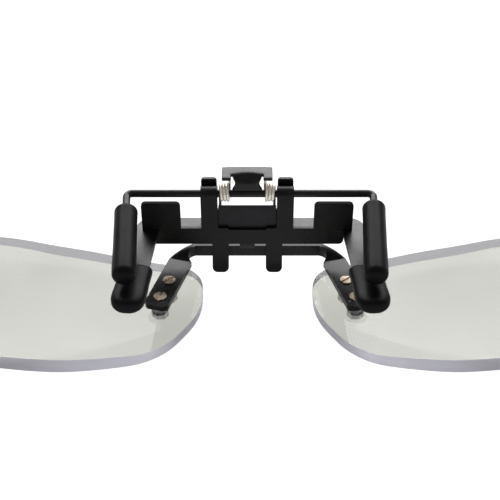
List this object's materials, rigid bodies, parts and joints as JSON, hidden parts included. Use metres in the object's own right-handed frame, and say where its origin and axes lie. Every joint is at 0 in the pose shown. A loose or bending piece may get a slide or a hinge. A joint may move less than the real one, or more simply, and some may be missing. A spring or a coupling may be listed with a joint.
{
  "type": "clip-on magnifier",
  "caption": "Flip-up magnifying lenses on a sprung clip that grips spectacles by rubber-sleeved prongs and opens by a thumb lever",
  "frame": {"origin": "on the surface it lies on, lens fronts down, midway between the two lenses and level with their centres", "axes": "+X to the right, +Y towards the top of the lenses, +Z from the lens fronts towards the wearer"},
  "size_m": [0.1318, 0.0352, 0.0247],
  "materials": {
    "frame_black": "gloss black lacquer on pressed steel",
    "wire_black": "gloss black lacquer on spring wire",
    "leaf_blued": "satin blue-black spring steel",
    "sleeve_rubber": "matte dark grey rubber",
    "spring_nickel": "nickel plated spring wire",
    "screw_copper": "copper coloured, polished",
    "nut_steel": "plain",
    "bushing_clear": "translucent nylon",
    "lens_clear": "clear polycarbonate with a reflection coating"
  },
  "bodies": {
    "clip": {"front_plate": "frame_black", "prong_bracket": "frame_black", "back_plate": "frame_black", "detent_leaf": "leaf_blued", "hinge_seat": "frame_black", "bracket_rivets": "frame_black", "seat_rivets": "frame_black", "ear_rivets": "frame_black", "prong_sleeve_left": "sleeve_rubber", "prong_sleeve_right": "sleeve_rubber", "torsion_spring_left": "spring_nickel", "torsion_spring_right": "spring_nickel"},
    "lens_set": {"lens_bridge": "frame_black", "lens_left": "lens_clear", "lens_right": "lens_clear", "lens_screw_left_upper": "screw_copper", "lens_screw_left_lower": "screw_copper", "lens_screw_right_upper": "screw_copper", "lens_screw_right_lower": "screw_copper", "lens_bushing_left_upper": "bushing_clear", "lens_bushing_left_lower": "bushing_clear", "lens_bushing_right_upper": "bushing_clear", "lens_bushing_right_lower": "bushing_clear", "lens_nut_left_upper": "nut_steel", "lens_nut_left_lower": "nut_steel", "lens_nut_right_upper": "nut_steel", "lens_nut_right_lower": "nut_steel"},
    "jaw": {"jaw_wire": "wire_black", "thumb_lever": "frame_black", "wire_sleeve_left": "sleeve_rubber", "wire_sleeve_right": "sleeve_rubber"}
  },
  "joints": [
    {"name": "lens_flip", "type": "hinge", "parent": "clip", "child": "lens_set", "pos_m": [0, 0.00975, 0.00793], "axis": [1, 0, 0], "range_deg": [0, 90], "deforming": ["detent_leaf"]},
    {"name": "jaw_open", "type": "hinge", "parent": "clip", "child": "jaw", "pos_m": [-0.0019, 0.00918, 0.02073], "axis": [-1, 0, 0], "range_deg": [0, 30], "stiffness_Nm_per_rad": 0.01, "springref_deg": -28.65, "deforming": ["torsion_spring_left", "torsion_spring_right"]}
  ]
}
